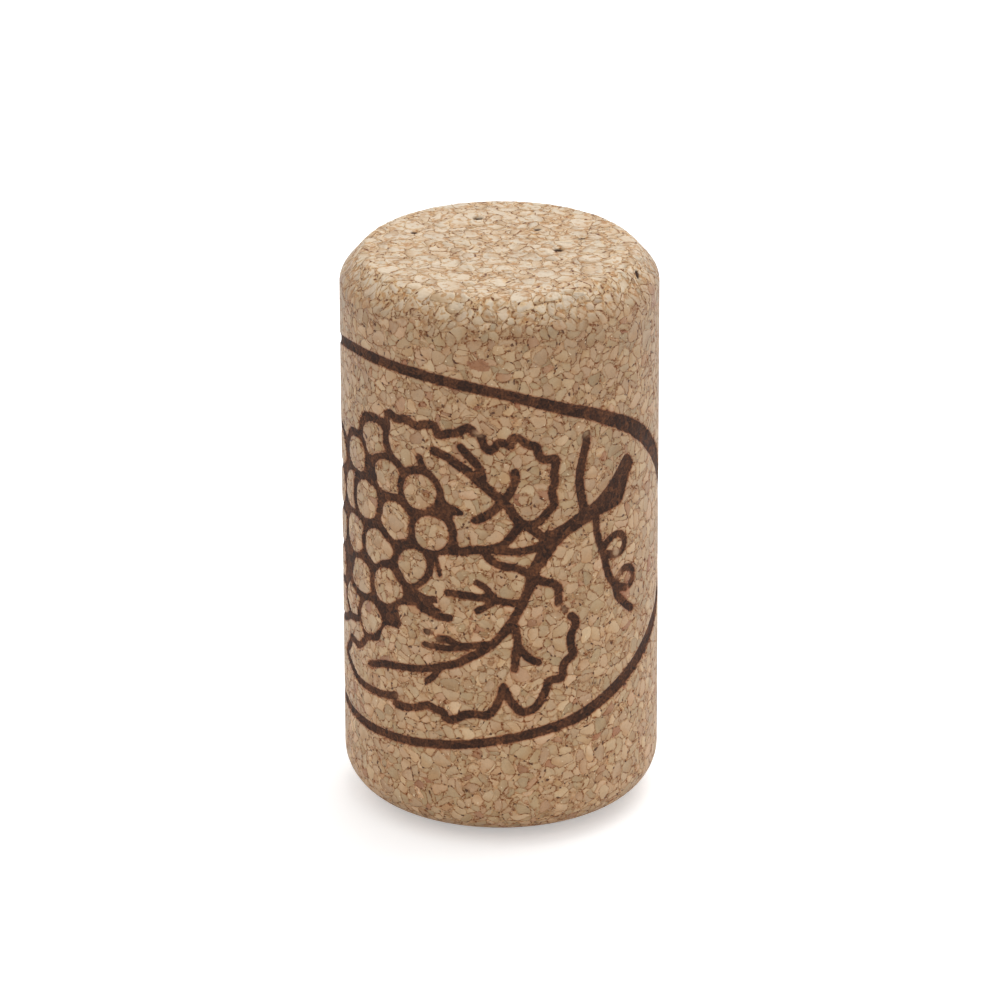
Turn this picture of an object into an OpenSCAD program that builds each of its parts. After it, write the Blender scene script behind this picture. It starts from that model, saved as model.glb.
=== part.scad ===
// Cork stopper for a wine bottle, standing on its foot end.
// One solid plug of pressed cork granules: a ground round wall, a bevel round
// the top, a softer worn edge round the foot, and a vine ornament burnt into
// the wall inside a long oval line that runs most of the way round.
// Millimetres, +Z up, origin at the centre of the foot, the ornament faces -Y.

/* [Stopper] */
// Diameter of the ground wall
stopper_d = 24; // [20:0.5:30]
// Length from the foot to the top face
stopper_l = 44; // [38:0.5:54]

/* [Top end] */
// How far the top bevel comes in from the wall
top_bevel_w = 1.75; // [1:0.05:3]
// How far the top bevel comes down the wall
top_bevel_h = 2; // [1:0.05:3]
// Rounding where the top face meets its bevel
top_face_round = 1; // [0.2:0.1:1.2]
// Rounding where the top bevel meets the wall
top_wall_round = 1.5; // [0.2:0.1:1.8]

/* [Foot end] */
// How far the worn edge comes in from the wall
foot_edge_w = 3.8; // [3.4:0.1:5]
// How far the worn edge comes up the wall
foot_edge_h = 1.5; // [1.2:0.1:3]
// Rounding where the foot face meets the worn edge
foot_face_round = 4; // [0.5:0.1:4]
// Rounding where the worn edge meets the wall
foot_wall_round = 3.2; // [0.5:0.1:3.3]

/* [Burnt ornament] */
// How deep the hot stamp sank where it pressed lightest
burn_depth = 0.12; // [0.06:0.02:0.3]
// Width of the oval line at its thin side
oval_thin = 0.75; // [0.4:0.05:1]
// Width of the oval line at its thick side
oval_thick = 1.5; // [1:0.05:1.8]
// Width of the rings that stand for the grapes
grape_line = 0.68; // [0.4:0.02:0.8]
// Width of the line round the leaf
leaf_line = 0.62; // [0.4:0.02:0.7]
// Width of the veins in the leaf
vein_line = 0.6; // [0.4:0.02:0.7]
// Width of the curly tendril
tendril_line = 0.62; // [0.4:0.02:0.7]

/* [Hidden] */

cork_tan = [0.76, 0.65, 0.51];
burnt_brown = [0.26, 0.18, 0.14];

wall_r = stopper_d / 2;
// The ornament is drawn for a wall of 12 mm radius and 44 mm height, and
// follows the stopper: drawn points are turned into angles and share the height
drawn_r = 12;
drawn_l = 44;
// The cutting bands start this far outside the wall
clear = 0.3;

// All ornament points are [x, z]: x in mm round the wall from the front line,
// z in mm above the foot.

// The oval line: from its right-hand turn over the top, round the back and home
oval_points = [
    [18.95, 21.5], [18.5, 24.4], [17, 27.2], [14.9, 29.6], [12, 32.05], [8, 34.3],
    [4, 35.9], [0, 37.15], [-5, 37.95], [-10, 38.15], [-15, 37.8], [-20, 36.6],
    [-26, 34.6], [-32, 32], [-37, 28.6], [-40.2, 25.2], [-41, 22.2], [-40, 19.2],
    [-36.5, 15.6], [-31, 12.2], [-25, 9.8], [-20, 8.4], [-15, 7.9], [-10, 7.9],
    [-5, 8.3], [0, 9.05], [4, 9.85], [8, 11], [12, 12.8], [15, 14.6], [17, 16],
    [18.5, 18.4]
];

// Grapes: [x, z, radius of the ring's middle line]
grapes = [
    [-11.1, 31.8, 1.65], [-13.5, 29.7, 1.68], [-9.45, 29.15, 1.62], [-6.4, 28.65, 1.72],
    [-12.05, 26.4, 1.82], [-14.6, 26.4, 1.72], [-8.65, 25.7, 1.8], [-5.4, 25.4, 1.74],
    [-13.9, 23, 1.74], [-10.5, 23, 1.86], [-7.05, 22.5, 1.66], [-12.9, 19.9, 1.72],
    [-9.45, 20.05, 1.84], [-14.6, 17.3, 1.66], [-11.6, 16.9, 1.7], [-17.3, 28.8, 1.74],
    [-17.9, 25.6, 1.76], [-17.6, 22.2, 1.74], [-17.7, 19, 1.68], [-21, 27.2, 1.74],
    [-21.1, 23.9, 1.72], [-20.9, 20.6, 1.74], [-24.2, 25.5, 1.72], [-24.2, 22.2, 1.74],
    [-27.3, 23.8, 1.7], [-27.2, 20.7, 1.66], [-30.3, 22.3, 1.68], [-33.4, 21.4, 1.6]
];

// Dark patches between the grapes, each a fan round its middle point
patches = [
    [[-5, 28.3], [-3.6, 27.95], [-2.85, 27.45], [-3.6, 27.1], [-5.4, 27.1]],
    [[-12.4, 29], [-11.6, 30.3], [-10.9, 29.9], [-10.8, 28.4], [-11.4, 28]],
    [[-16.4, 20.7], [-15.3, 21.1], [-14.5, 20.4], [-14.8, 18.9], [-15.8, 18.4]],
    [[-10, 18.4], [-8.7, 18.5], [-8.2, 17.6], [-8.8, 17], [-10, 17.1]],
    [[-8, 19.7], [-7.2, 20.5], [-5.6, 20.4], [-4.9, 19.8], [-5.9, 19.2], [-7.4, 19.1]]
];

// The vine stem, between its upper edge and its lower edge
stem_upper = [
    [3, 25.6], [4.2, 26], [5.4, 26.6], [6.6, 27.15], [8, 27.95], [9.1, 28.8],
    [10, 29.8], [10.6, 30.35]
];
stem_lower = [
    [3.1, 24.3], [4.6, 24.9], [6, 25.7], [7.4, 26.15], [8.8, 26.4], [10.2, 26.8],
    [11, 28.2], [11.65, 29.4]
];

// Lines round the leaf, cornered as its lobes are
leaf_lines = [
    [[-9.4, 33.7], [-9, 34.3], [-8.2, 34.1], [-7.4, 34.2], [-6.6, 33.9], [-5.9, 34.2],
     [-5.15, 34.2], [-4.7, 33.5], [-4, 33.7], [-3.2, 33.9], [-2.4, 34.4]],
    [[-1.5, 34.1], [-1.4, 33.3], [-0.8, 32.6], [-0.2, 33.25], [0.8, 32.95]],
    [[0.8, 33.65], [1.5, 33.45], [2.1, 32.95], [2.8, 32.75], [2.95, 32.1], [3.45, 31.65],
     [4.15, 31.65], [4.2, 31], [4, 30.3], [4.2, 29.7], [3.9, 29], [4.15, 28.1],
     [3.6, 27.4], [2.9, 26.75], [2.1, 26.55], [1.3, 26.8]],
    [[2.4, 22.3], [3.4, 21.9], [4.25, 21.4], [4.45, 20.7], [4.45, 20.1]],
    [[4.9, 19.3], [5.35, 18.6], [5.8, 17.9], [5.4, 17.3], [5.4, 16.3], [5.7, 15.45],
     [5.05, 15.1], [4.75, 14.5], [4.75, 13.8], [4.1, 13.7], [3.55, 13.5], [3.2, 12.6],
     [2.7, 11.75], [2, 11.3], [1.3, 11.5], [0.7, 12.3], [0.2, 13.4]],
    [[0.2, 13.4], [-0.15, 12.4], [-0.6, 11.5], [-1.2, 11.05], [-2.1, 11.1], [-2.9, 10.95],
     [-3.8, 10.4], [-4.5, 10.8], [-5.2, 11.15], [-5.9, 11.3], [-6.6, 10.95],
     [-7.6, 10.7], [-8.9, 10.7]],
    [[-8.7, 11.4], [-9.6, 11.15], [-10.8, 10.95], [-12.1, 10.95], [-13.5, 11],
     [-14.6, 11.5], [-16.3, 12.3]],
    [[-16.3, 12.3], [-15.3, 13.2], [-14.9, 13.95], [-13.7, 13.9], [-12.9, 14.3],
     [-12.1, 15.2], [-11, 15.4], [-10.4, 16.1], [-10, 16.9]]
];

// Veins in the leaf and stubs beside the bunch, each with its share of the line width
vein_lines = [
    [1.15, [[-5.1, 32.2], [-3.5, 31.5], [-1.5, 30], [0, 28.6], [1, 27.3], [2.2, 26.3], [3.4, 25.1]]],
    [1, [[-3, 32.8], [-2, 31.7], [-1.4, 30.3]]],
    [1.05, [[1.05, 30.8], [0.8, 29.4], [-0.3, 28], [-1.9, 26.95]]],
    [1.05, [[1.4, 26.6], [0.9, 25.8], [-0.3, 24.8], [-2.2, 24.5]]],
    [0.95, [[-0.8, 24.6], [1.2, 24.4], [2.9, 24.7]]],
    [0.95, [[-1.3, 24.5], [-0.6, 23.6], [1.2, 23.1], [2.4, 22.4]]],
    [1.4, [[3.6, 25.2], [2.9, 23.6], [2.3, 21.8]]],
    [1.1, [[2.3, 21.8], [1.6, 20.2], [0.3, 18], [-1.5, 16.3], [-4, 15]]],
    [0.9, [[-4, 15], [-7, 14.1], [-10, 13.6], [-11.8, 13]]],
    [0.95, [[1.5, 20.3], [-0.4, 20.5], [-2.5, 20.8], [-4.2, 20.8]]],
    [0.85, [[-0.6, 20.8], [-1.2, 21.5], [-1.9, 21.9]]],
    [0.85, [[-0.5, 20.4], [-1.1, 20], [-1.8, 19.6]]],
    [1, [[1, 18.5], [1.2, 17], [1, 14.8]]],
    [0.95, [[1.25, 16.8], [1.8, 16], [2.8, 15.3]]],
    [0.95, [[-0.5, 17], [-3, 16.7], [-4.9, 17.05]]],
    [0.85, [[-2.8, 16.6], [-4.2, 16.35], [-6, 16.3]]],
    [0.85, [[-4.8, 14.5], [-5.3, 13.8], [-5.8, 13.3]]],
    [1, [[-9.4, 34], [-9.5, 32.4], [-9.2, 31]]],
    [1, [[-6.4, 31.5], [-6, 30.4]]],
    [0.7, [[-5.1, 23.6], [-4.65, 22.5]]],
    [1, [[-4.9, 24.1], [-3.5, 24.2], [-2.1, 24.6]]],
    [1, [[-6.4, 19.4], [-5.2, 18.95], [-3.9, 18.8]]],
    [1, [[-14.2, 15.8], [-16.6, 15.1], [-19.4, 14.4], [-22.4, 15.6], [-25.4, 18.2]]]
];

// The tendril that leaves the stem upward and curls twice below it
tendril_lines = [
    [[6.7, 33], [6.3, 30.8], [6.15, 29.2], [6.5, 26.9]],
    [[7.55, 26.4], [7.75, 24.8], [8.3, 23.2], [8.7, 21.7], [9.5, 20.3], [10.8, 19.6]],
    [[8.3, 23.6], [9, 24.15], [10.3, 24.1], [10.6, 23.3], [9.9, 22.7], [8.7, 23]],
    [[9.7, 20.5], [10.3, 21.1], [11.4, 21.1], [11.75, 20.3], [11, 19.6]],
    [[9.55, 20.1], [10.1, 18.9], [11.5, 17.6]]
];

// A point of the drawing on the wall, at radius r
function on_wall(p, r) =
    let (turn = p.x / drawn_r * 180 / PI)
    [r * sin(turn), -r * cos(turn), p.y * stopper_l / drawn_l];

// A smooth run through the given points, with n steps from each to the next
function flow(p, n, closed = false) =
    let (c = len(p), last = closed ? c : c - 1)
    [
        for (i = [0 : last - 1]) for (k = [0 : n - 1])
            let (
                a = closed ? p[(i + c - 1) % c] : p[max(i - 1, 0)],
                b = p[i],
                d = p[(i + 1) % c],
                e = closed ? p[(i + 2) % c] : p[min(i + 2, c - 1)],
                t = k / n
            )
            (2 * b + (d - a) * t + (2 * a - 5 * b + 4 * d - e) * t * t
                + (3 * b - a - 3 * d + e) * t * t * t) / 2,
        if (!closed) p[c - 1]
    ];

// The two edges of a line of width w along the points p: side is 1 or -1
function edge(p, w, side, closed = false) =
    let (c = len(p))
    [
        for (i = [0 : c - 1])
            let (
                before = closed ? p[(i + c - 1) % c] : p[max(i - 1, 0)],
                after = closed ? p[(i + 1) % c] : p[min(i + 1, c - 1)],
                u = (p[i] - before) / max(norm(p[i] - before), 0.001),
                v = (after - p[i]) / max(norm(after - p[i]), 0.001),
                along = (u + v) / norm(u + v),
                across = [-along.y, along.x],
                mitre = max(norm(u + v) / 2, 0.7),
                half = (is_list(w) ? w[i] : w) / 2
            )
            p[i] + across * side * half / (norm(u) > 0.5 && norm(v) > 0.5 ? mitre : 1)
    ];

// A band pressed into the wall between two edges of the drawing, from outside
// the wall down to its own floor
module band(left, right, depth, closed = false) {
    c = len(left);
    last = closed ? c - 1 : c - 2;
    floor_r = wall_r - depth;
    lid_r = wall_r + clear;
    points = [
        for (i = [0 : c - 1])
            each [
                on_wall(left[i], floor_r), on_wall(right[i], floor_r),
                on_wall(right[i], lid_r), on_wall(left[i], lid_r)
            ]
    ];
    skin = [
        for (i = [0 : last]) for (k = [0 : 3])
            let (a = 4 * i, b = 4 * ((i + 1) % c), m = (k + 1) % 4)
            each [[a + k, b + m, b + k], [a + k, a + m, b + m]]
    ];
    far = 4 * c - 4;
    ends = closed ? [] : [[0, 2, 1], [0, 3, 2], [far, far + 1, far + 2], [far, far + 2, far + 3]];
    polyhedron(points, concat(skin, ends));
}

module line(p, w, depth, closed = false) {
    band(edge(p, w, 1, closed), edge(p, w, -1, closed), depth, closed);
}

// A dark patch, cut as one fan-shaped plug
module patch(p, depth) {
    c = len(p);
    middle = [for (k = [0, 1]) [for (q = p) 1] * [for (q = p) q[k]] / c];
    points = concat(
        [for (q = p) on_wall(q, wall_r - depth)],
        [for (q = p) on_wall(q, wall_r + clear)],
        [on_wall(middle, wall_r - depth), on_wall(middle, wall_r + clear)]
    );
    faces = [
        for (i = [0 : c - 1])
            let (j = (i + 1) % c)
            each [[i, 2 * c, j], [j + c, 2 * c + 1, i + c], [j, i + c, i], [j, j + c, i + c]]
    ];
    polyhedron(points, faces);
}

module ornament() {
    oval = flow(oval_points, 3, true);
    oval_w = [for (q = oval) oval_thin + (oval_thick - oval_thin) * pow(max(0, q.x) / 19, 1.3)];
    line(oval, oval_w, burn_depth, true);
    for (i = [0 : len(grapes) - 1])
        line(
            [for (a = [0 : 30 : 330]) [grapes[i].x, grapes[i].y] + grapes[i].z * [cos(a), -sin(a)]],
            grape_line, burn_depth * [1, 1.4, 1.8][i % 3], true
        );
    for (p = patches)
        patch(p, burn_depth * 2.2);
    band(stem_upper, stem_lower, burn_depth * 2.2);
    for (p = leaf_lines)
        line(p, leaf_line, burn_depth);
    for (i = [0 : len(vein_lines) - 1])
        line(flow(vein_lines[i][1], 2), vein_line * vein_lines[i][0], burn_depth * [1.4, 1.8][i % 2]);
    for (i = [0 : len(tendril_lines) - 1])
        line(flow(tendril_lines[i], 2), tendril_line, burn_depth * [1, 1.4][i % 2]);
}

// Corner of an outline at c, rounded with radius r toward its neighbours a and b:
// the two touching points and the middle of the round
function toward(a, b) = (b - a) / norm(b - a);
function half_turn(a, c, b) = acos(toward(c, a) * toward(c, b)) / 2;
function touch(a, c, b, r) = c + toward(c, a) * r / tan(half_turn(a, c, b));
function round_middle(a, c, b, r) =
    c + toward([0, 0], toward(c, a) + toward(c, b)) * r / sin(half_turn(a, c, b));

// Half of the stopper's outline, from the axis out to the wall
module half_outline() {
    corners = [
        [0, 0], [wall_r - foot_edge_w, 0], [wall_r, foot_edge_h],
        [wall_r, stopper_l - top_bevel_h], [wall_r - top_bevel_w, stopper_l], [0, stopper_l]
    ];
    rounds = [0, foot_face_round, foot_wall_round, top_wall_round, top_face_round, 0];
    polygon([
        corners[0],
        for (i = [1 : 4])
            each [
                touch(corners[i - 1], corners[i], corners[i + 1], rounds[i]),
                touch(corners[i + 1], corners[i], corners[i - 1], rounds[i])
            ],
        corners[5]
    ]);
    for (i = [1 : 4])
        translate(round_middle(corners[i - 1], corners[i], corners[i + 1], rounds[i]))
            circle(r = rounds[i], $fn = 96);
}

module stopper() {
    difference() {
        color(cork_tan)
            rotate_extrude($fn = 180)
                half_outline();
        color(burnt_brown)
            ornament();
    }
}

stopper();
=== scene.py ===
import math
import bpy
import numpy as np
from mathutils import Matrix, Vector


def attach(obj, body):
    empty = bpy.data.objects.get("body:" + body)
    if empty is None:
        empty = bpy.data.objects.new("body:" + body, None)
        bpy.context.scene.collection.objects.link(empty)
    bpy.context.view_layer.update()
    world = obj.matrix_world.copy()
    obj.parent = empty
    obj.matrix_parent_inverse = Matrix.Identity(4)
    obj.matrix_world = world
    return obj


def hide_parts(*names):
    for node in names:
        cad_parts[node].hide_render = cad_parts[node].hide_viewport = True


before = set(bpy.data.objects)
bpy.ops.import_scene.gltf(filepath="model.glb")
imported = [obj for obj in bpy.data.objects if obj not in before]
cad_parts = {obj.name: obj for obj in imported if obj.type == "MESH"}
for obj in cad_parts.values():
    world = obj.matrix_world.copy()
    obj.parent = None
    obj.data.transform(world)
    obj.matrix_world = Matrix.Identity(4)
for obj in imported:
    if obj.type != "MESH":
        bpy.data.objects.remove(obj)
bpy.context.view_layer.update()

# The view: a long lens looks down on the standing stopper from its decorated
# side, 23 degrees above the table.
look_down = math.radians(23.128)
view_distance = 0.5226
aim = Vector((0.0, 0.0, 0.023486))
line_of_sight = Vector((0.0, math.cos(look_down), -math.sin(look_down)))
upward = Vector((0.0, math.sin(look_down), math.cos(look_down)))
camera_data = bpy.data.cameras.new("camera")
camera_data.sensor_width = 36.0
camera_data.lens = 247.69
camera_data.shift_x = -0.00026
camera_data.clip_start = 0.05
camera_data.clip_end = 20.0
camera = bpy.data.objects.new("camera", camera_data)
bpy.context.scene.collection.objects.link(camera)
stand = aim - line_of_sight * view_distance
turn = Matrix((Vector((1.0, 0.0, 0.0)), upward, -line_of_sight)).transposed()
camera.matrix_world = (Matrix.Translation(stand) @ turn.to_4x4()
                       @ Matrix.Rotation(math.radians(-0.21), 4, "Z"))
bpy.context.scene.camera = camera
bpy.context.scene.view_settings.view_transform = "Standard"


# The room: a white tent all round and a broad soft lamp overhead. The light in
# the tent is what gives the wall its pale, greyish gleam toward both sides.
room = bpy.data.worlds.new("white_tent")
room.use_nodes = True
room.node_tree.nodes["Background"].inputs["Color"].default_value = (1.0, 1.0, 1.0, 1.0)
room.node_tree.nodes["Background"].inputs["Strength"].default_value = 0.95
bpy.context.scene.world = room
lamp_data = bpy.data.lights.new("overhead_softbox", "AREA")
lamp_data.shape = "DISK"
lamp_data.size = 0.5
lamp_data.energy = 1.35
lamp = bpy.data.objects.new("overhead_softbox", lamp_data)
lamp.location = (0.15, 0.21, 0.51)
lamp.rotation_euler = (Vector((0.0, 0.0, 0.02)) - lamp.location).to_track_quat("-Z", "Y").to_euler()
bpy.context.scene.collection.objects.link(lamp)


# The table: one plain white sheet, large enough to fill every view. Seen by the
# camera it is lifted to full white, and it keeps the stopper's soft shadow.
table_mesh = bpy.data.meshes.new("table")
table_mesh.from_pydata([(-3.0, -3.0, 0.0), (3.0, -3.0, 0.0), (3.0, 3.0, 0.0), (-3.0, 3.0, 0.0)],
                       [], [(0, 1, 2, 3)])
table = bpy.data.objects.new("table", table_mesh)
bpy.context.scene.collection.objects.link(table)
sheet = bpy.data.materials.new("white_sheet")
sheet.use_nodes = True
web = sheet.node_tree
web.nodes.clear()
paper = web.nodes.new("ShaderNodeBsdfDiffuse")
paper.inputs["Color"].default_value = (0.86, 0.86, 0.86, 1.0)
lift = web.nodes.new("ShaderNodeEmission")
rays = web.nodes.new("ShaderNodeLightPath")
share = web.nodes.new("ShaderNodeMath")
share.operation = "MULTIPLY"
share.inputs[1].default_value = 0.35
both = web.nodes.new("ShaderNodeAddShader")
sheet_out = web.nodes.new("ShaderNodeOutputMaterial")
web.links.new(rays.outputs["Is Camera Ray"], share.inputs[0])
web.links.new(share.outputs[0], lift.inputs["Strength"])
web.links.new(paper.outputs[0], both.inputs[0])
web.links.new(lift.outputs[0], both.inputs[1])
web.links.new(both.outputs[0], sheet_out.inputs["Surface"])
table.data.materials.append(sheet)


# The stopper's body: one plug of pressed cork granules, cut from a long moulded
# rod, its wall ground true and both ends bevelled. It stands on its softer,
# more worn end.
wall_r = 0.0120
body_l = 0.0440


def rounded_outline(corners, rounds, spacing):
    """Points along an outline whose corners are rounded.

    At each corner the two straight runs are cut back by radius / tan(half the
    corner angle) and joined by an arc of that radius. The whole run is then
    divided into equal steps of about the given spacing.
    """
    runs = [corners[0]]
    for before, corner, after, radius in zip(corners[:-2], corners[1:-1], corners[2:], rounds):
        back = (before - corner) / np.linalg.norm(before - corner)
        ahead = (after - corner) / np.linalg.norm(after - corner)
        half = math.acos(float(np.clip(back @ ahead, -1.0, 1.0))) / 2.0
        middle = corner + (back + ahead) / np.linalg.norm(back + ahead) * radius / math.sin(half)
        first = corner + back * radius / math.tan(half) - middle
        last = corner + ahead * radius / math.tan(half) - middle
        start = math.atan2(first[1], first[0])
        sweep = (math.atan2(last[1], last[0]) - start + math.pi) % (2.0 * math.pi) - math.pi
        angles = start + sweep * np.linspace(0.0, 1.0, 13)
        runs.append(middle + radius * np.stack([np.cos(angles), np.sin(angles)], 1))
    runs.append(corners[-1])
    line = np.vstack(runs)
    along = np.concatenate([[0.0], np.cumsum(np.linalg.norm(np.diff(line, axis=0), axis=1))])
    steps = np.linspace(0.0, along[-1], int(round(along[-1] / spacing)) + 1)
    return np.stack([np.interp(steps, along, line[:, 0]), np.interp(steps, along, line[:, 1])], 1)


corners = [np.array(c) for c in (
    (0.0, 0.0), (wall_r - 0.0038, 0.0), (wall_r, 0.0015), (wall_r, body_l - 0.0020),
    (wall_r - 0.00175, body_l), (0.0, body_l))]
half_outline = rounded_outline(corners, (0.0040, 0.0032, 0.0015, 0.0010), 0.000225)
spokes = 340
ring_r = half_outline[1:-1, 0]
ring_z = half_outline[1:-1, 1]
spoke = np.arange(spokes) / spokes * 2.0 * math.pi
# spoke 0 faces the camera, and the angle grows to the camera's right
out_x, out_y = np.sin(spoke), -np.cos(spoke)


# The burnt ornament: a bunch of grapes with its leaf, stem and tendril inside a
# long oval line, pressed into the wall with a hot stamp that was rolled round
# it. The stamp sank a little and left a dark floor with a scorched rim. It is
# drawn here flat, in mm: the first number runs round the wall from the line
# that faces the camera, positive to the right, and the second is the height.
oval_line = [
    (18.95, 21.5, 1.5), (18.6, 24.3, 1.45), (17.1, 27.15, 1.4), (15.0, 29.5, 1.35),
    (12.0, 32.05, 1.2), (8.0, 34.3, 1.0), (5.0, 35.48, 0.88), (0.0, 37.13, 0.80),
    (-5.0, 37.96, 0.80), (-10.0, 38.24, 0.80), (-14.5, 38.0, 0.78), (-20.0, 36.6, 0.75),
    (-26.0, 34.5, 0.75), (-32.0, 31.9, 0.75), (-37.0, 28.6, 0.75), (-40.2, 25.3, 0.75),
    (-41.0, 22.4, 0.75), (-40.0, 19.4, 0.75), (-36.5, 15.8, 0.75), (-31.0, 12.3, 0.75),
    (-25.0, 9.8, 0.75), (-20.0, 8.4, 0.75), (-15.0, 7.88, 0.7), (-10.0, 7.83, 0.7),
    (-5.0, 8.22, 0.7), (0.0, 9.02, 0.7), (5.0, 9.98, 0.85), (8.0, 11.0, 0.95),
    (12.0, 12.85, 1.1), (15.0, 14.6, 1.25), (17.0, 15.95, 1.35), (18.5, 18.4, 1.45)]

bunch_edge = [
    (-15.3, 30.3), (-15.0, 31.0), (-14.5, 31.4), (-13.7, 31.6), (-13.05, 31.65), (-13.0, 32.0),
    (-12.7, 32.8), (-12.2, 33.4), (-11.5, 33.7), (-10.7, 33.8), (-10.1, 33.65), (-9.6, 33.8),
    (-9.15, 33.8), (-9.05, 33.2), (-9.2, 32.5), (-9.15, 31.9), (-8.95, 31.4), (-8.65, 31.05),
    (-8.2, 30.75), (-7.8, 30.4), (-7.6, 30.3), (-7.3, 30.5), (-6.7, 30.65), (-5.8, 30.65),
    (-5.2, 30.35), (-4.7, 29.75), (-4.4, 29.1), (-4.3, 28.6), (-4.1, 28.2), (-3.3, 27.85),
    (-2.85, 27.5), (-2.95, 27.3), (-3.6, 27.2), (-3.6, 26.8), (-3.35, 26.0), (-3.35, 25.2),
    (-3.1, 24.6), (-2.5, 24.3), (-2.9, 24.05), (-4.1, 23.95), (-5.1, 23.6), (-5.15, 22.9),
    (-5.35, 22.1), (-5.8, 21.4), (-6.3, 20.95), (-6.65, 20.65), (-6.1, 20.4), (-5.6, 20.35),
    (-5.05, 20.4), (-4.95, 19.95), (-5.4, 19.7), (-4.7, 19.35), (-4.5, 19.05), (-5.2, 19.15),
    (-6.1, 19.35), (-7.3, 19.2), (-8.0, 19.1), (-8.45, 18.7), (-8.35, 18.1), (-8.15, 17.6),
    (-8.2, 17.2), (-8.6, 17.0), (-9.6, 16.95), (-10.1, 16.4), (-10.4, 15.7), (-10.6, 15.3),
    (-11.3, 15.1), (-12.2, 14.95), (-12.7, 15.3), (-13.2, 15.9), (-14.0, 15.65), (-15.0, 15.75),
    (-15.8, 16.2), (-16.3, 16.8), (-16.6, 17.6), (-17.5, 17.5), (-18.5, 17.6), (-19.3, 18.4),
    (-19.4, 22.0), (-19.4, 26.0), (-19.1, 29.6), (-18.2, 30.5), (-17.0, 30.7), (-16.0, 30.4)]

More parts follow.
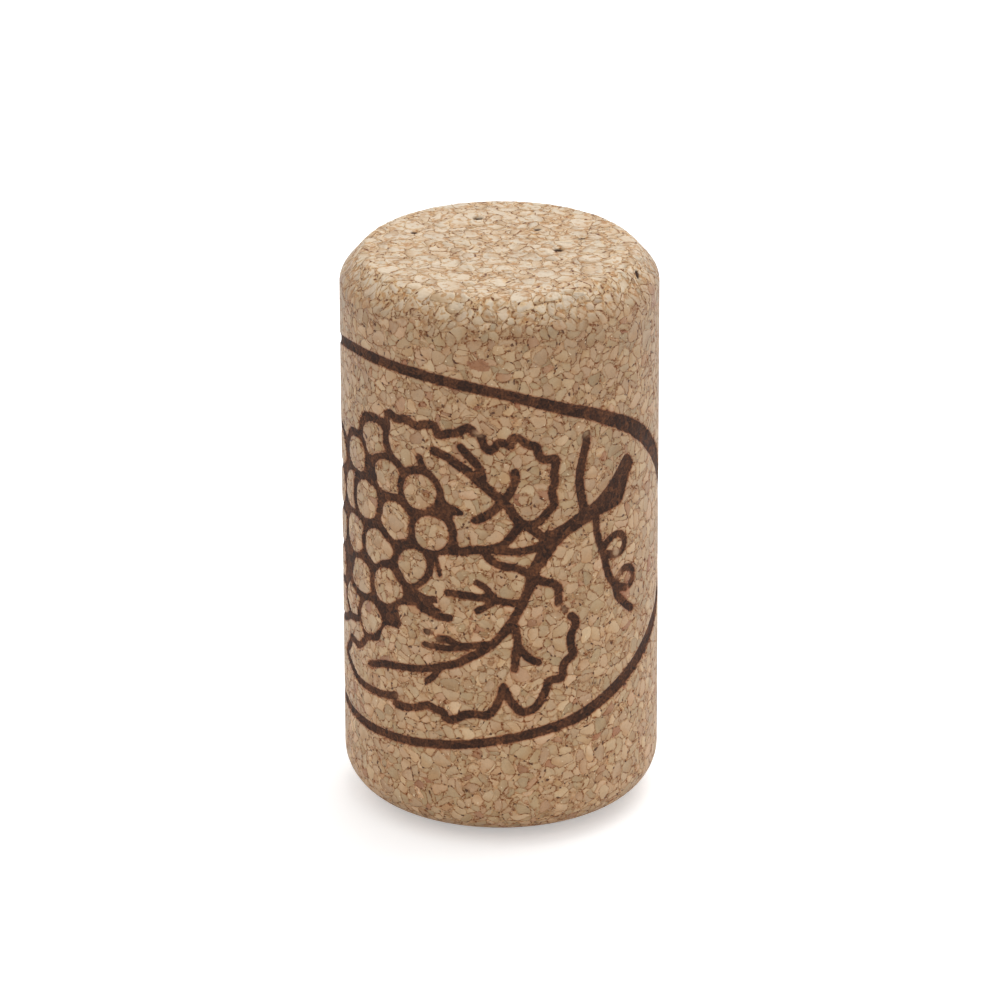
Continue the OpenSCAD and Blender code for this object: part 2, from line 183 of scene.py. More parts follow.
grape_faces = [
    [(-12.35, 31.8), (-12.2, 32.3), (-11.7, 32.8), (-11.0, 33.05), (-10.2, 33.0), (-9.85, 32.6),
     (-9.9, 32.1), (-9.8, 31.5), (-9.6, 31.05), (-10.2, 30.85), (-10.8, 30.55), (-11.15, 30.35),
     (-11.55, 30.35), (-11.85, 30.7), (-12.0, 31.15), (-12.35, 31.4)],
    [(-14.8, 29.9), (-14.55, 30.4), (-14.1, 30.85), (-13.4, 30.95), (-12.6, 30.85), (-12.25, 30.3),
     (-12.15, 29.7), (-12.2, 29.0), (-12.6, 28.5), (-13.2, 28.4), (-14.0, 28.45), (-14.6, 28.85),
     (-14.85, 29.3)],
    [(-10.75, 29.2), (-10.7, 29.7), (-10.3, 30.15), (-9.7, 30.4), (-9.0, 30.4), (-8.45, 30.1),
     (-8.2, 29.6), (-8.35, 29.1), (-8.4, 28.6), (-8.25, 28.1), (-8.7, 27.95), (-9.4, 27.9),
     (-10.1, 27.95), (-10.45, 28.3), (-10.6, 28.8)],
    [(-7.8, 28.6), (-7.65, 29.25), (-7.2, 29.8), (-6.5, 30.05), (-5.9, 30.0), (-5.3, 29.6),
     (-4.95, 29.0), (-5.0, 28.4), (-5.3, 27.8), (-5.9, 27.35), (-6.5, 27.25), (-7.1, 27.35),
     (-7.6, 27.9)],
    [(-15.65, 26.3), (-15.5, 27.0), (-15.1, 27.5), (-14.6, 27.85), (-13.75, 27.9), (-14.0, 27.3),
     (-14.1, 26.6), (-14.1, 25.9), (-13.9, 25.4), (-13.7, 25.0), (-14.3, 24.95), (-15.0, 25.0),
     (-15.5, 25.4), (-15.65, 25.9)],
    [(-13.45, 26.4), (-13.35, 27.0), (-12.9, 27.6), (-12.3, 27.9), (-11.6, 27.9), (-10.9, 27.7),
     (-10.6, 27.2), (-10.55, 26.5), (-10.75, 25.8), (-11.0, 25.3), (-11.6, 25.0), (-12.3, 24.9),
     (-12.9, 25.05), (-13.35, 25.6), (-13.5, 26.0)],
    [(-9.95, 26.0), (-10.1, 25.6), (-9.95, 25.1), (-9.5, 24.7), (-9.1, 24.4), (-8.6, 24.2),
     (-8.2, 24.4), (-7.6, 24.6), (-7.4, 25.0), (-7.45, 25.7), (-7.2, 26.3), (-7.45, 26.6),
     (-7.9, 27.0), (-8.5, 27.25), (-9.1, 27.2), (-9.6, 26.95), (-9.9, 26.5)],
    [(-6.8, 25.3), (-6.7, 26.0), (-6.3, 26.5), (-5.7, 26.8), (-4.9, 26.8), (-4.3, 26.5),
     (-4.0, 25.9), (-4.0, 25.2), (-4.3, 24.6), (-4.8, 24.2), (-5.4, 24.1), (-6.1, 24.2),
     (-6.6, 24.6)],
    [(-15.3, 23.0), (-15.15, 23.6), (-14.8, 24.2), (-14.2, 24.45), (-13.4, 24.5), (-12.8, 24.4),
     (-12.4, 23.95), (-12.6, 23.5), (-12.75, 22.9), (-12.65, 22.3), (-12.9, 21.9), (-13.4, 21.6),
     (-14.0, 21.45), (-14.6, 21.7), (-15.1, 22.2)],
    [(-12.1, 23.0), (-12.0, 23.6), (-11.6, 24.1), (-11.1, 24.35), (-10.6, 24.45), (-10.1, 24.3),
     (-9.6, 23.85), (-9.1, 23.55), (-8.9, 23.1), (-9.1, 22.6), (-9.6, 22.3), (-10.3, 22.0),
     (-10.9, 21.55), (-11.4, 21.8), (-11.9, 22.1), (-12.15, 22.5)],
    [(-8.35, 22.4), (-8.2, 23.0), (-7.8, 23.5), (-7.2, 23.8), (-6.5, 23.85), (-6.0, 23.5),
     (-5.8, 22.9), (-5.9, 22.3), (-6.3, 21.6), (-6.7, 21.2), (-7.3, 21.0), (-7.7, 21.2),
     (-8.0, 21.7), (-8.3, 22.0)],
    [(-14.45, 19.4), (-14.2, 20.1), (-14.0, 20.7), (-13.6, 21.05), (-13.0, 21.15), (-12.5, 21.2),
     (-12.0, 21.0), (-11.6, 20.6), (-11.6, 20.0), (-11.55, 19.5), (-11.5, 19.1), (-11.9, 18.7),
     (-12.6, 18.6), (-13.3, 18.6), (-14.0, 18.75), (-14.4, 19.1)],
    [(-11.0, 20.2), (-10.8, 20.9), (-10.3, 21.4), (-9.6, 21.65), (-9.0, 21.5), (-8.6, 21.0),
     (-8.1, 20.6), (-7.95, 20.1), (-8.1, 19.6), (-8.6, 19.3), (-9.0, 18.95), (-9.5, 18.7),
     (-10.2, 18.75), (-10.7, 19.1), (-10.9, 19.6)],
    [(-15.95, 17.3), (-15.6, 18.0), (-15.1, 18.5), (-14.6, 18.35), (-13.9, 18.05), (-13.2, 17.95),
     (-13.35, 17.4), (-13.6, 16.8), (-13.6, 16.35), (-14.2, 16.15), (-14.9, 16.15), (-15.5, 16.6),
     (-15.85, 16.9)],
    [(-12.95, 16.9), (-12.7, 17.5), (-12.2, 18.05), (-11.6, 18.2), (-11.0, 18.1), (-10.5, 17.7),
     (-10.15, 17.2), (-10.3, 16.7), (-10.7, 16.1), (-11.2, 15.65), (-11.8, 15.5), (-12.4, 15.55),
     (-12.75, 15.95), (-12.95, 16.4)],
    [(-17.2, 30.1), (-16.3, 29.6), (-15.9, 29.1), (-15.7, 28.6), (-15.9, 28.1), (-16.4, 27.7),
     (-17.2, 27.4), (-18.1, 27.8), (-18.5, 28.8), (-18.1, 29.7)],
    [(-17.5, 26.9), (-16.8, 26.8), (-16.4, 26.3), (-16.2, 25.6), (-16.3, 25.0), (-16.7, 24.5),
     (-17.5, 24.1), (-18.4, 24.5), (-18.8, 25.5), (-18.4, 26.5)],
    [(-16.6, 23.6), (-16.0, 23.5), (-15.95, 22.6), (-16.1, 21.8), (-16.7, 21.2), (-17.6, 21.0),
     (-18.5, 21.4), (-18.8, 22.3), (-18.4, 23.2), (-17.5, 23.5)],
    [(-17.5, 20.4), (-16.8, 20.2), (-16.4, 19.6), (-16.5, 18.8), (-17.1, 18.2), (-17.9, 18.2),
     (-18.6, 18.7), (-18.8, 19.5), (-18.4, 20.2)]]

# round the side, where the stamp was plain rings: middle, height, ring radius
far_grapes = [
    (-21.0, 27.3, 1.74), (-21.1, 24.0, 1.72), (-20.9, 20.7, 1.74), (-24.2, 25.6, 1.72),
    (-24.2, 22.3, 1.74), (-27.3, 23.9, 1.70), (-27.2, 20.8, 1.66), (-30.3, 22.4, 1.68),
    (-33.4, 21.5, 1.60)]

stem_edge = [
    (3.2, 25.8), (4.0, 25.95), (5.0, 26.4), (6.0, 26.9), (7.0, 27.3), (8.0, 27.9), (9.0, 28.7),
    (10.0, 29.8), (10.5, 30.3), (10.85, 30.38), (11.2, 30.2), (11.7, 29.5), (11.4, 28.9),
    (10.8, 27.9), (10.6, 27.4), (10.3, 26.9), (9.8, 26.6), (8.6, 26.4), (8.0, 26.35), (7.4, 26.1),
    (6.5, 25.85), (5.5, 25.4), (4.8, 24.95), (4.3, 24.55), (4.05, 24.1), (3.6, 23.6), (3.2, 23.0),
    (2.7, 24.4)]

# pen lines: width in mm, then the points
pen_lines = [
    (0.65, [(-9.4, 34.1), (-9.0, 34.3), (-8.4, 34.05), (-7.5, 34.22), (-6.6, 33.9), (-5.9, 34.18),
            (-5.1, 34.2), (-4.85, 33.65), (-4.65, 33.5), (-4.1, 33.7), (-3.3, 33.85), (-2.9, 34.1),
            (-2.5, 34.33), (-2.2, 34.25), (-2.0, 34.0)]),
    (0.60, [(-1.45, 33.65), (-1.35, 33.2), (-1.15, 32.85), (-0.8, 32.58), (-0.4, 32.9), (-0.1, 33.25),
            (0.8, 32.95)]),
    (0.65, [(0.9, 33.6), (1.4, 33.5), (2.0, 33.0), (2.6, 32.8), (2.8, 32.3), (3.1, 31.8),
            (3.6, 31.65), (4.1, 31.65), (4.2, 31.2), (4.02, 30.5), (4.15, 29.9), (3.95, 29.4),
            (3.88, 28.9), (4.0, 28.5), (4.05, 28.0), (3.6, 27.5), (3.0, 26.8), (2.6, 26.6),
            (2.0, 26.55), (1.4, 26.75)]),
    (0.70, [(-5.1, 32.2), (-4.2, 31.9), (-3.5, 31.5), (-2.6, 30.9), (-1.5, 30.0), (-0.7, 29.3),
            (0.0, 28.6), (0.6, 28.0), (1.0, 27.3), (1.5, 26.7), (2.2, 26.3), (3.0, 25.6), (3.5, 25.1)]),
    (0.60, [(-3.0, 32.75), (-2.5, 32.2), (-1.9, 31.6), (-1.5, 30.9), (-1.35, 30.3)]),
    (0.64, [(1.05, 30.8), (1.1, 30.3), (0.8, 29.4), (0.3, 28.7), (-0.3, 28.0), (-1.0, 27.4),
            (-1.9, 26.95)]),
    (0.65, [(1.4, 26.6), (0.9, 25.8), (0.3, 25.1), (-0.3, 24.8), (-1.0, 24.6), (-2.2, 24.55),
            (-2.9, 24.3)]),
    (0.60, [(-0.8, 24.6), (0.6, 24.45), (1.8, 24.45), (2.9, 24.7)]),
    (0.62, [(-1.2, 24.4), (-0.9, 23.9), (-0.2, 23.4), (0.6, 23.2), (1.3, 23.05), (2.0, 22.6),
            (2.4, 22.4)]),
    (0.90, [(3.6, 25.0), (3.2, 24.2), (2.9, 23.6), (2.6, 23.0), (2.4, 22.3), (2.2, 21.6)]),
    (0.72, [(2.3, 21.9), (1.9, 20.9), (1.6, 20.2), (1.2, 19.4), (0.8, 18.7), (0.3, 18.0)]),
    (0.62, [(0.3, 18.0), (-0.2, 17.4), (-0.8, 16.8), (-1.5, 16.3), (-2.3, 15.8), (-3.0, 15.35),
            (-4.0, 14.95), (-5.0, 14.6)]),
    (0.55, [(-4.8, 14.65), (-6.0, 14.3), (-7.0, 14.1), (-8.5, 13.88), (-10.0, 13.6), (-11.0, 13.25),
            (-11.8, 13.0)]),
    (0.56, [(1.5, 20.3), (0.5, 20.3), (-0.4, 20.55), (-1.2, 20.65), (-2.5, 20.8), (-4.1, 20.85)]),
    (0.50, [(-0.6, 20.8), (-1.2, 21.5), (-1.8, 21.9)]),
    (0.50, [(-0.5, 20.4), (-1.1, 20.0), (-1.8, 19.6)]),
    (0.60, [(1.0, 18.5), (1.15, 17.8), (1.2, 17.0), (1.05, 16.0), (1.0, 14.85)]),
    (0.56, [(1.25, 16.8), (1.7, 16.1), (2.2, 15.6), (2.8, 15.3)]),
    (0.55, [(-0.5, 17.0), (-1.5, 16.8), (-3.0, 16.6), (-3.6, 16.8), (-4.1, 17.05), (-4.8, 17.05)]),
    (0.48, [(-3.0, 16.5), (-4.2, 16.3), (-6.0, 16.3)]),
    (0.42, [(-5.9, 17.4), (-5.45, 17.35)]),
    (0.50, [(-4.8, 14.5), (-5.3, 13.8), (-5.8, 13.3)]),
    (0.65, [(2.5, 22.2), (3.2, 21.85), (3.9, 21.6), (4.35, 21.2), (4.42, 20.5), (4.4, 19.95)]),
    (0.45, [(4.8, 19.45), (5.0, 19.2)]),
    (0.65, [(5.42, 18.7), (5.75, 18.35), (5.82, 17.9), (5.58, 17.5), (5.4, 17.1), (5.4, 16.3),
            (5.6, 15.75), (5.6, 15.4), (5.15, 15.2), (4.82, 14.8), (4.75, 14.3), (4.78, 13.9),
            (4.5, 13.7), (4.0, 13.72), (3.6, 13.6), (3.4, 13.0), (3.0, 12.2), (2.6, 11.6),
            (2.0, 11.3), (1.5, 11.35), (1.0, 11.8), (0.6, 12.4), (0.2, 13.3)]),
    (0.62, [(0.15, 13.4), (0.0, 12.8), (-0.3, 12.0), (-0.7, 11.4), (-1.2, 11.05), (-2.0, 11.1),
            (-2.8, 11.0), (-3.3, 10.7), (-3.9, 10.4), (-4.35, 10.55), (-4.5, 10.95), (-5.2, 11.15),
            (-5.8, 11.35), (-6.3, 11.1), (-7.0, 10.85), (-8.0, 10.65), (-8.8, 10.7)]),
    (0.60, [(-8.8, 11.4), (-9.3, 11.2), (-10.5, 11.0), (-12.0, 10.93), (-13.5, 10.98), (-14.5, 11.4),
            (-15.5, 11.9), (-16.3, 12.3), (-15.9, 12.7), (-15.2, 13.3), (-15.0, 13.85), (-14.5, 14.0),
            (-13.6, 13.85), (-13.0, 14.15), (-12.4, 14.75), (-12.1, 15.1)]),
    (0.60, [(-14.0, 15.9), (-15.2, 15.65), (-16.0, 15.2), (-17.3, 14.7), (-19.0, 14.3), (-20.8, 14.6),
            (-22.8, 15.9), (-25.2, 18.0)]),
    (0.60, [(-6.35, 31.4), (-6.0, 30.5)]),
    (0.36, [(-5.05, 23.6), (-4.85, 22.9), (-4.72, 22.2)]),
    (0.58, [(-6.5, 19.35), (-5.4, 18.95), (-4.6, 18.78), (-3.95, 18.8)]),
    (0.70, [(6.72, 33.05), (6.75, 32.5), (6.5, 31.6), (6.3, 30.8), (6.15, 30.0), (6.15, 29.2),
            (6.3, 28.3), (6.5, 27.2)]),
    (0.60, [(7.6, 26.3), (7.65, 25.5), (7.75, 24.8), (8.0, 24.0), (8.3, 23.2), (8.5, 22.4),
            (8.7, 21.7), (9.0, 20.9), (9.5, 20.3), (10.0, 19.9), (10.8, 19.55)]),
    (0.58, [(8.2, 23.4), (8.6, 23.85), (9.1, 24.15), (9.7, 24.25), (10.3, 24.05), (10.65, 23.5),
            (10.5, 22.95), (10.0, 22.65), (9.4, 22.7), (8.6, 23.0)]),
    (0.58, [(9.5, 20.3), (9.9, 20.75), (10.3, 21.05), (10.7, 21.2), (11.3, 21.0), (11.7, 20.55),
            (11.72, 20.0), (11.3, 19.62)]),
    (0.62, [(9.6, 20.0), (9.85, 19.2), (10.4, 18.6), (10.9, 18.1), (11.5, 17.6)])]

# spots where the stamp hardly touched: place, reach and how much is missing
faint_spots = [
    (-1.9, 34.0, 0.32, 0.7), (-1.45, 33.8, 0.3, 0.55), (6.75, 33.15, 0.45, 0.75),
    (4.45, 19.65, 0.25, 0.5), (4.9, 19.3, 0.45, 0.6), (-5.7, 17.4, 0.5, 0.45),
    (-4.9, 17.05, 0.5, 0.5), (-5.6, 16.3, 0.7, 0.35), (9.7, 22.75, 0.6, 0.8), (10.0, 20.85, 0.55, 0.75),
    (11.0, 19.5, 0.35, 0.6), (-8.8, 11.35, 0.35, 0.45), (6.4, 10.6, 0.22, 0.7),
    (2.1, 24.5, 0.4, 0.25), (-2.55, 24.3, 0.4, 0.35), (-5.6, 13.5, 0.5, 0.3)]


def smooth_run(points, steps, closed):
    """A smooth curve through the given points.

    Each stretch is the cubic whose slope at either end is half the way from the
    point before to the point after it.
    """
    points = np.array(points, dtype=float)
    if closed:
        a, b, c, d = (np.roll(points, shift, axis=0) for shift in (1, 0, -1, -2))
    else:
        padded = np.vstack([2.0 * points[0] - points[1], points, 2.0 * points[-1] - points[-2]])
        a, b, c, d = padded[:-3], padded[1:-2], padded[2:-1], padded[3:]
    t = (np.arange(steps) / steps)[None, :, None]
    a, b, c, d = (part[:, None, :] for part in (a, b, c, d))
    curve = 0.5 * (2.0 * b + (c - a) * t + (2.0 * a - 5.0 * b + 4.0 * c - d) * t ** 2
                   + (3.0 * b - a - 3.0 * c + d) * t ** 3)
    curve = curve.reshape(-1, points.shape[1])
    return np.vstack([curve, points[:1] if closed else points[-1:]])


def to_line(at, run):
    """Signed distance in mm from wall points to a drawn line.

    For each straight stretch: distance to the nearest point of the stretch less
    half the line's width there. The smallest of them counts, negative inside.
    """
    nearest = np.full(len(at), 9.0)
    for start, end in zip(run[:-1], run[1:]):
        along = end[:2] - start[:2]
        share = np.clip((at - start[:2]) @ along / (along @ along + 1e-12), 0.0, 1.0)
        gap = np.hypot(*(at - start[:2] - share[:, None] * along).T)
        nearest = np.minimum(nearest, gap - (start[2] + (end[2] - start[2]) * share) / 2.0)
    return nearest


def to_patch(at, run):
    """Signed distance in mm from wall points to a closed patch.

    Distance to the nearest point of its edge, negative where a level line drawn
    from the point crosses the edge an odd number of times.
    """
    nearest = np.full(len(at), 9.0)
    inside = np.zeros(len(at), dtype=bool)
    for start, end in zip(run[:-1], run[1:]):
        along = end - start
        share = np.clip((at - start) @ along / (along @ along + 1e-12), 0.0, 1.0)
        nearest = np.minimum(nearest, np.hypot(*(at - start - share[:, None] * along).T))
        straddles = (start[1] > at[:, 1]) != (end[1] > at[:, 1])
        crossing = start[0] + (at[:, 1] - start[1]) * along[0] / (along[1] + 1e-12)
        inside ^= straddles & (at[:, 0] < crossing)
    return np.where(inside, -nearest, nearest)


def to_ornament(at):
    """Signed distance in mm from wall points to the whole burnt drawing."""
    drawing = to_patch(at, smooth_run(bunch_edge, 3, True))
    for face in grape_faces:
        drawing = np.maximum(drawing, 0.03 - to_patch(at, smooth_run(face, 3, True)))
    for middle, height, ring in far_grapes:
        drawing = np.minimum(drawing, abs(np.hypot(at[:, 0] - middle, at[:, 1] - height) - ring) - 0.34)
    drawing = np.minimum(drawing, to_patch(at, smooth_run(stem_edge, 3, True)))
    drawing = np.minimum(drawing, to_line(at, smooth_run(oval_line, 6, True)))
    for width, points in pen_lines:
        run = smooth_run([(x, z, width) for x, z in points], 3, False)
        drawing = np.minimum(drawing, to_line(at, run))
    return drawing


def pressed(at):
    """How hard the stamp pressed, 1 for fully: 1 less a bell round each faint spot."""
    touch = np.ones(len(at))
    for x, z, reach, missing in faint_spots:
        touch -= missing * np.exp(-((at[:, 0] - x) ** 2 + (at[:, 1] - z) ** 2) / reach ** 2)
    return np.clip(touch, 0.0, 1.0)


# Wall points in the drawing's own mm. The stamp was rolled on a touch right and
# low of true, and the drawing's ends meet behind, 26.6 mm round from the front.
round_wall = (spoke - 26.6 / 12.0) % (2.0 * math.pi) - 2.0 * math.pi + 26.6 / 12.0
flat = np.stack([np.tile(round_wall * wall_r * 1000.0, len(ring_z)),
                 np.repeat(ring_z * 1000.0, spokes)], 1) - np.array([0.04, -0.06])
on_band = (flat[:, 1] > 5.0) & (flat[:, 1] < 41.0)
from_mark = np.full(len(flat), 3.0)
from_mark[on_band] = np.minimum(to_ornament(flat[on_band]), 3.0)
touch = np.zeros(len(flat))
touch[on_band] = pressed(flat[on_band])


def eased(value, low, high):
    """0 below low, 1 above high, and 3t^2 - 2t^3 of the way t in between."""
    t = np.clip((value - low) / (high - low), 0.0, 1.0)
    return t * t * (3.0 - 2.0 * t)


def unevenness(at, size):
    """How deep each point lies on an end where grinding tore at the granules, 0 to 1.

    Space is cut into cubes of the given size in mm with one drawn point in each,
    and a granule is all that lies nearest to one such point. Half of the depth is
    drawn for the granule. The other half is 1 where the two nearest points are
    equally far, and eases to 0 where the second is 0.4 sizes further.
    """
    table = np.random.default_rng(11).random((32, 32, 16, 4))
    cube = np.floor(at / size).astype(int)
    nearest, second, own_depth = np.full(len(at), 9.0), np.full(len(at), 9.0), np.zeros(len(at))
    for offset in np.stack(np.meshgrid([-1, 0, 1], [-1, 0, 1], [-1, 0, 1]), -1).reshape(-1, 3):
        near_cube = cube + offset
        drawn = table[near_cube[:, 0] % 32, near_cube[:, 1] % 32, near_cube[:, 2] % 16]
        far = np.linalg.norm(at - (near_cube + drawn[:, :3]) * size, axis=1)
        second = np.minimum(second, np.maximum(far, nearest))
        own_depth = np.where(far < nearest, drawn[:, 3], own_depth)
        nearest = np.minimum(nearest, far)
    return 0.5 * own_depth + 0.5 * (1.0 - eased(second - nearest, 0.0, 0.4 * size))


# holes that granules left when they broke out of the upper end: x, y and the
# half widths across and along the view, then the depth, all in mm
end_holes = [
    (-1.6, 6.45, 0.42, 0.42, 0.50), (4.4, -0.3, 0.40, 0.42, 0.32), (2.9, 4.0, 0.32, 0.30, 0.30),
    (6.2, 2.0, 0.30, 0.28, 0.25), (10.3, -3.6, 0.17, 0.48, 0.18), (-6.4, 3.4, 0.30, 0.26, 0.22)]

# The body surface: every ring of the outline, carried round all the spokes and
# pushed in along the outline's own normal where stamp and holes left it lower.
slope = np.gradient(half_outline, axis=0)
slope /= np.linalg.norm(slope, axis=1)[:, None]
normal_r, normal_z = slope[1:-1, 1], -slope[1:-1, 0]
sunk = 0.10 * (0.5 + 0.5 * touch) * eased(-from_mark, -0.10, 0.12)
body_x = np.outer(ring_r, out_x).ravel()
body_y = np.outer(ring_r, out_y).ravel()
body_z = np.repeat(ring_z, spokes)
on_top = body_z > body_l - 0.0019
body_mm = np.stack([body_x, body_y, body_z], 1) * 1000.0
torn_end = body_mm[:, 2] > 41.5
sunk[torn_end] += 0.055 * eased(body_mm[torn_end, 2], 41.7, 42.7) * unevenness(body_mm[torn_end], 0.85)
hollow = np.zeros(len(body_x))
for x, y, across, along, depth in end_holes:
    reach = np.hypot((body_x * 1000.0 - x) / across, (body_y * 1000.0 - y) / along)
    missing = on_top * (1.0 - eased(reach, 0.3, 1.2))
    sunk += depth * missing
    hollow = np.maximum(hollow, missing)
push = sunk / 1000.0
body_x -= push * np.outer(normal_r, out_x).ravel()
body_y -= push * np.outer(normal_r, out_y).ravel()
body_z -= push * np.repeat(normal_z, spokes)
points = np.vstack([np.stack([body_x, body_y, body_z], 1), [[0.0, 0.0, 0.0], [0.0, 0.0, body_l]]])
rings = len(ring_z)
ring, step = np.meshgrid(np.arange(rings - 1), np.arange(spokes), indexing="ij")
ahead = (step + 1) % spokes
squares = np.stack([ring * spokes + step, ring * spokes + ahead,
                    (ring + 1) * spokes + ahead, (ring + 1) * spokes + step], -1).reshape(-1, 4)
step = np.arange(spokes)
ahead = (step + 1) % spokes
foot_fan = np.stack([ahead, step, np.full(spokes, rings * spokes)], 1)
top_fan = np.stack([(rings - 1) * spokes + step, (rings - 1) * spokes + ahead,
                    np.full(spokes, rings * spokes + 1)], 1)
body_mesh = bpy.data.meshes.new("stopper_cork")
body_mesh.from_pydata(points.tolist(), [], squares.tolist() + foot_fan.tolist() + top_fan.tolist())
body_mesh.shade_smooth()
for name, values, at_ends in (("from_mark", from_mark, 3.0), ("touch", touch, 0.0), ("hollow", hollow, 0.0)):
    layer = body_mesh.attributes.new(name, "FLOAT", "POINT")
    layer.data.foreach_set("value", np.concatenate([values, [at_ends, at_ends]]))
body = bpy.data.objects.new("stopper_cork", body_mesh)
bpy.context.scene.collection.objects.link(body)


# The cork itself: granules of bark 0.3 to 1.5 mm across, pressed together with a
# clear glue. Each granule has its own tan, some pinkish or greyish, with thin
# brown seams between them and dark crumbs of bark where seams meet.
cork = bpy.data.materials.new("pressed_cork")
cork.use_nodes = True
web = cork.node_tree
web.nodes.clear()


def add(kind, feeds=None, **settings):
    """Adds one node; feeds gives a socket either a value or the output that feeds it."""
    made = web.nodes.new("ShaderNode" + kind)
    for name, value in settings.items():
        setattr(made, name, value)
    for socket, value in (feeds or {}).items():
        if isinstance(value, bpy.types.NodeSocket):
            web.links.new(value, made.inputs[socket])
        else:
            made.inputs[socket].default_value = value
    return made


def work(operation, *values):
    """One step of arithmetic on numbers or outputs."""
    return add("Math", dict(enumerate(values)), operation=operation).outputs[0]


def between(value, low, high, from_value=0.0, to_value=1.0):
    """Smooth step from one value at low to another at high."""
    return add("MapRange", {"Value": value, 1: low, 2: high, 3: from_value, 4: to_value},
               interpolation_type="SMOOTHSTEP").outputs[0]


def tint(share, under, over, blend="MIX"):
    """Lays one colour over another by a share from 0 to 1."""
    return add("Mix", {0: share, 6: under, 7: over}, data_type="RGBA", blend_type=blend).outputs[2]


def lit(colour, level):
    """A colour made lighter or darker by a level around 1."""
    return add("VectorMath", {0: colour, "Scale": level}, operation="SCALE").outputs[0]


def tone(red, green, blue):
    """A colour named from 0 to 255 as a screen shows it, in the linear light a shader works in."""
    return tuple(((c / 255.0 + 0.055) / 1.055) ** 2.4 for c in (red, green, blue)) + (1.0,)


def tones(value, *stops):
    """A ramp through the given places and colours."""
    made = add("ValToRGB", {"Fac": value})
    strip = made.color_ramp.elements
    strip[0].position, strip[0].color = stops[0]
    strip[1].position, strip[1].color = stops[-1]
    for place, colour in stops[1:-1]:
        strip.new(place).color = colour
    return made.outputs["Color"]


def clouds(at, per_mm, detail=2.0, rough=0.5):
    """Soft noise with the given number of waves to the mm, around 0.5."""
    return add("TexNoise", {"Vector": at, "Scale": per_mm, "Detail": detail, "Roughness": rough})


def granules(at, size, scatter, skipped, smallest, largest):
    """One size of granule, laid loosely among the others.

    The cells round scattered points are shrunk by a thin skin and rounded off
    at a radius in mm drawn for each. Gives two more random numbers for each
    granule, the depth in mm under its skin, which is negative outside and far
    below 0 for the share of granules that are skipped, and how high its face,
    tipped a random way, stands above its middle.
    """
    own, other = (add("TexVoronoi", {"Vector": at, "Scale": 1.0 / size, "Randomness": scatter}, feature=near)
                  for near in ("F1", "F2"))
    lots = add("SeparateColor", {0: own.outputs["Color"]}).outputs
    to_side = work("MULTIPLY", work("SUBTRACT", other.outputs["Distance"], own.outputs["Distance"]), size / 2.0)
    radius = between(lots[2], skipped, 1.0, smallest, largest)
    to_round = work("SUBTRACT", radius, work("MULTIPLY", own.outputs["Distance"], size))
    depth = work("SMOOTH_MIN", work("SUBTRACT", to_side, 0.015), to_round, 0.12)
    left_out = work("MULTIPLY", work("LESS_THAN", lots[2], skipped), 5.0)
    way = add("VectorMath", {0: own.outputs["Color"], 1: (0.5, 0.5, 0.5)}, operation="SUBTRACT").outputs[0]
    aside = add("VectorMath", {0: at, 1: own.outputs["Position"]}, operation="SUBTRACT").outputs[0]
    tipped = add("VectorMath", {0: aside, 1: way}, operation="DOT_PRODUCT").outputs["Value"]
    return lots[0], lots[1], work("SUBTRACT", depth, left_out), tipped


place = add("TexCoord").outputs["Object"]
in_mm = add("VectorMath", {0: place, "Scale": 1000.0}, operation="SCALE").outputs[0]
bend = clouds(in_mm, 0.8, 0.0).outputs["Color"]
bent = add("VectorMath", {0: bend, 1: (1.0, 1.0, 1.0), 2: in_mm}, operation="MULTIPLY_ADD").outputs[0]
ripple = clouds(in_mm, 3.0, 3.0, 0.65).outputs["Color"]
height_mm = add("SeparateXYZ", {0: in_mm}).outputs[2]
ripple = lit(ripple, between(height_mm, 41.2, 43.8, 0.26, 0.13))
bent = add("VectorMath", {0: ripple, 1: bent}, operation="ADD").outputs[0]
end_share = between(height_mm, 41.2, 43.0)

# crumbs everywhere, with larger and larger granules laid over them, the largest
# mostly on the ends
kind, shade, seam, tipped = granules(bent, 0.48, 0.85, -1.0, 2.0, 2.0)
seam = work("ADD", seam, between(height_mm, 41.9, 43.8, 0.02, 0.06))
large = between(height_mm, 43.3, 43.95, 0.60, -0.40)
largest_of_all = between(height_mm, 43.3, 43.95, 1.10, 0.15)
for size, scatter, skipped, smallest, largest in (
        (0.78, 0.9, -0.5, 0.44, 0.72), (1.10, 0.9, large, between(height_mm, 43.3, 43.95, 0.50, 0.62), 0.80),
        (1.60, 0.9, largest_of_all, 0.60, 0.95)):
    upper_kind, upper_shade, depth, upper_tipped = granules(bent, size, scatter, skipped, smallest, largest)
    inside = work("GREATER_THAN", depth, 0.0)
    outside = work("MINIMUM", seam, work("ABSOLUTE", depth))
    kind, shade, seam, tipped = (
        add("Mix", {0: inside, 2: lower, 3: upper}, data_type="FLOAT").outputs[0]
        for lower, upper in ((kind, upper_kind), (shade, upper_shade), (outside, depth), (tipped, upper_tipped)))

grit = clouds(in_mm, 6.0, 2.0, 0.6).outputs["Fac"]
seam = work("ADD", seam, work("MULTIPLY", work("SUBTRACT", grit, 0.5), between(height_mm, 41.2, 43.8, 0.20, 0.12)))

